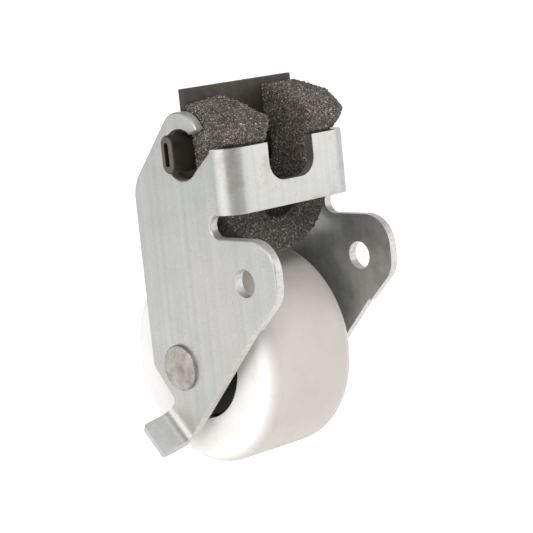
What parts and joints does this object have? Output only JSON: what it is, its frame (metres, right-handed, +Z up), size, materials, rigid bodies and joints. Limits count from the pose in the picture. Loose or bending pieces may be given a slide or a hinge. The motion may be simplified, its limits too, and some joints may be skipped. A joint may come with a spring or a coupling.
{
  "type": "sliding door roller",
  "caption": "Cabinet or door roller: stamped steel bracket with a white wheel on a riveted axle, a pivot bore and a foam-backed adjuster trunnion.",
  "frame": {"origin": "on the pivot bore axis, midway between the two ears", "axes": "+X along the pivot and wheel axes, left plate to right plate; -Y towards the strap side, the front; +Z up"},
  "size_m": [0.0474, 0.0543, 0.0807],
  "materials": {
    "zinc_steel": "zinc-plated mild steel sheet, satin with faint vertical rolling lines",
    "white_nylon": "moulded off-white nylon, satin",
    "black_acetal": "black acetal, matte",
    "rivet_steel": "plated steel rivet, upset marks in the head",
    "black_nylon": "black moulded nylon, matte",
    "foam": "charcoal open-cell polyurethane foam"
  },
  "bodies": {
    "bracket_body": {"bracket": "zinc_steel", "axle_rivet": "rivet_steel", "foam_pad": "foam"},
    "wheel_body": {"wheel": "white_nylon", "hub_bushing_left": "black_acetal", "hub_bushing_right": "black_acetal"},
    "trunnion_body": {"trunnion": "black_nylon"}
  },
  "joints": [
    {"name": "wheel_spin", "type": "hinge", "parent": "bracket_body", "child": "wheel_body", "pos_m": [0, 0.0228, -0.01915], "axis": [1, 0, 0], "continuous": true},
    {"name": "trunnion_rock", "type": "hinge", "parent": "bracket_body", "child": "trunnion_body", "pos_m": [0, 0.0159, 0.0265], "axis": [1, 0, 0], "range_deg": [-5, 5]}
  ]
}
